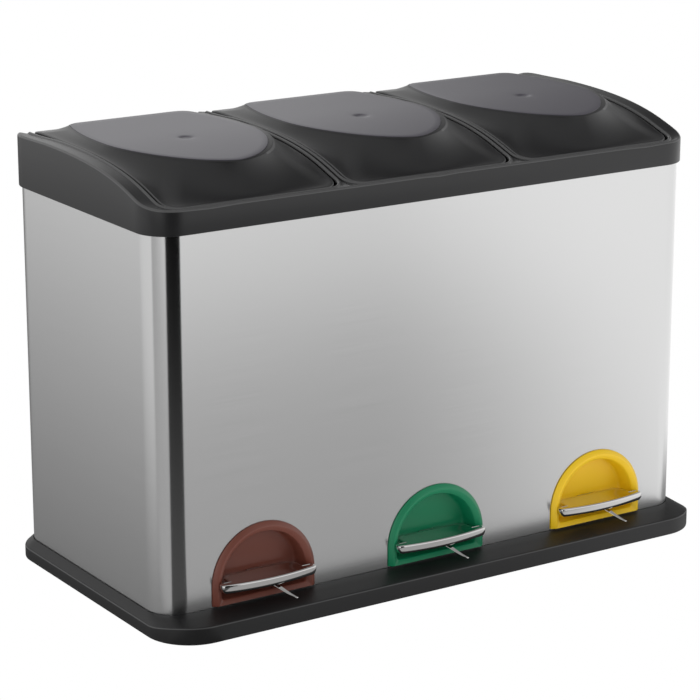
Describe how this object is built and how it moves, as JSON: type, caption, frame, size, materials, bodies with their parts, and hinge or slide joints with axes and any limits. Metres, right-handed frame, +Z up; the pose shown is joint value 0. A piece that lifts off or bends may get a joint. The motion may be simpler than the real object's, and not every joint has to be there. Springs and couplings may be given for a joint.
{
  "type": "recycling bin station",
  "caption": "Recycling bin with steel-wrapped body, black top frame, hinged lids, coloured pedal surrounds and lift-out buckets.",
  "frame": {"origin": "centre of the bounding box's foot, on the floor", "axes": "+X to the right along the row of compartments seen from the front, +Y from the front to the back, +Z up"},
  "size_m": [0.6, 0.3116, 0.4175],
  "materials": {
    "black_plinth": "fine-grained black moulded plastic",
    "black_frame": "satin black moulded plastic",
    "smoky_panel": "smoky grey semi-gloss insert",
    "brushed_steel": "satin brushed stainless sheet",
    "polished_steel": "polished steel",
    "zinc_steel": "zinc plated steel",
    "brown_plastic": "semi-gloss moulded plastic",
    "green_plastic": "semi-gloss moulded plastic",
    "yellow_plastic": "semi-gloss moulded plastic",
    "bucket_plastic": "matte moulded plastic",
    "black_rubber": "matte rubber"
  },
  "bodies": {
    "body": {"base_plinth": "black_plinth", "steel_body": "brushed_steel", "top_frame": "black_frame", "rubber_foot_1": "black_rubber", "rubber_foot_2": "black_rubber", "rubber_foot_3": "black_rubber", "rubber_foot_4": "black_rubber", "pedal_surround_left": "brown_plastic", "lever_pin_left": "zinc_steel", "rod_guide_left": "black_plinth", "hinge_rod_left": "zinc_steel", "inner_bucket_left": "bucket_plastic", "pedal_surround_centre": "green_plastic", "lever_pin_centre": "zinc_steel", "rod_guide_centre": "black_plinth", "hinge_rod_centre": "zinc_steel", "inner_bucket_centre": "bucket_plastic", "pedal_surround_right": "yellow_plastic", "lever_pin_right": "zinc_steel", "rod_guide_right": "black_plinth", "hinge_rod_right": "zinc_steel", "inner_bucket_right": "bucket_plastic"},
    "lid_body_left": {"lid_left": "black_frame", "lid_panel_left": "smoky_panel"},
    "pedal_body_left": {"pedal_left": "polished_steel", "pedal_lever_left": "zinc_steel", "pedal_spring_left": "polished_steel"},
    "rod_body_left": {"push_rod_left": "zinc_steel"},
    "handle_body_left": {"bucket_handle_left": "bucket_plastic"},
    "lid_body_centre": {"lid_centre": "black_frame", "lid_panel_centre": "smoky_panel"},
    "pedal_body_centre": {"pedal_centre": "polished_steel", "pedal_lever_centre": "zinc_steel", "pedal_spring_centre": "polished_steel"},
    "rod_body_centre": {"push_rod_centre": "zinc_steel"},
    "handle_body_centre": {"bucket_handle_centre": "bucket_plastic"},
    "lid_body_right": {"lid_right": "black_frame", "lid_panel_right": "smoky_panel"},
    "pedal_body_right": {"pedal_right": "polished_steel", "pedal_lever_right": "zinc_steel", "pedal_spring_right": "polished_steel"},
    "rod_body_right": {"push_rod_right": "zinc_steel"},
    "handle_body_right": {"bucket_handle_right": "bucket_plastic"}
  },
  "joints": [
    {"name": "lid_hinge_left", "type": "hinge", "parent": "body", "child": "lid_body_left", "pos_m": [-0.1875, 0.14018, 0.398], "axis": [-1, 0, 0], "range_deg": [0, 75]},
    {"name": "pedal_pivot_left", "type": "hinge", "parent": "body", "child": "pedal_body_left", "pos_m": [-0.1875, -0.028, 0.019], "axis": [1, 0, 0], "range_deg": [0, 7.6], "deforming": ["pedal_spring_left"]},
    {"name": "rod_lift_left", "type": "slide", "parent": "body", "child": "rod_body_left", "axis": [0, 0, 1], "range_m": [0, 0.02064]},
    {"name": "bail_pivot_left", "type": "hinge", "parent": "body", "child": "handle_body_left", "pos_m": [-0.1875, -0.003, 0.353], "axis": [-1, 0, 0], "range_deg": [0, 12]},
    {"name": "lid_hinge_centre", "type": "hinge", "parent": "body", "child": "lid_body_centre", "pos_m": [0, 0.14018, 0.398], "axis": [-1, 0, 0], "range_deg": [0, 75]},
    {"name": "pedal_pivot_centre", "type": "hinge", "parent": "body", "child": "pedal_body_centre", "pos_m": [0, -0.028, 0.019], "axis": [1, 0, 0], "range_deg": [0, 7.6], "deforming": ["pedal_spring_centre"]},
    {"name": "rod_lift_centre", "type": "slide", "parent": "body", "child": "rod_body_centre", "axis": [0, 0, 1], "range_m": [0, 0.02064]},
    {"name": "bail_pivot_centre", "type": "hinge", "parent": "body", "child": "handle_body_centre", "pos_m": [0, -0.003, 0.353], "axis": [-1, 0, 0], "range_deg": [0, 12]},
    {"name": "lid_hinge_right", "type": "hinge", "parent": "body", "child": "lid_body_right", "pos_m": [0.1875, 0.14018, 0.398], "axis": [-1, 0, 0], "range_deg": [0, 75]},
    {"name": "pedal_pivot_right", "type": "hinge", "parent": "body", "child": "pedal_body_right", "pos_m": [0.1875, -0.028, 0.019], "axis": [1, 0, 0], "range_deg": [0, 7.6], "deforming": ["pedal_spring_right"]},
    {"name": "rod_lift_right", "type": "slide", "parent": "body", "child": "rod_body_right", "axis": [0, 0, 1], "range_m": [0, 0.02064]},
    {"name": "bail_pivot_right", "type": "hinge", "parent": "body", "child": "handle_body_right", "pos_m": [0.1875, -0.003, 0.353], "axis": [-1, 0, 0], "range_deg": [0, 12]}
  ],
  "couplings": [
    {"joint": "pedal_pivot_left", "follows": "lid_hinge_left", "ratio": 0.1},
    {"joint": "rod_lift_left", "follows": "lid_hinge_left", "m_per_rad": 0.015456},
    {"joint": "pedal_pivot_centre", "follows": "lid_hinge_centre", "ratio": 0.1},
    {"joint": "rod_lift_centre", "follows": "lid_hinge_centre", "m_per_rad": 0.015456},
    {"joint": "pedal_pivot_right", "follows": "lid_hinge_right", "ratio": 0.1},
    {"joint": "rod_lift_right", "follows": "lid_hinge_right", "m_per_rad": 0.015456}
  ]
}
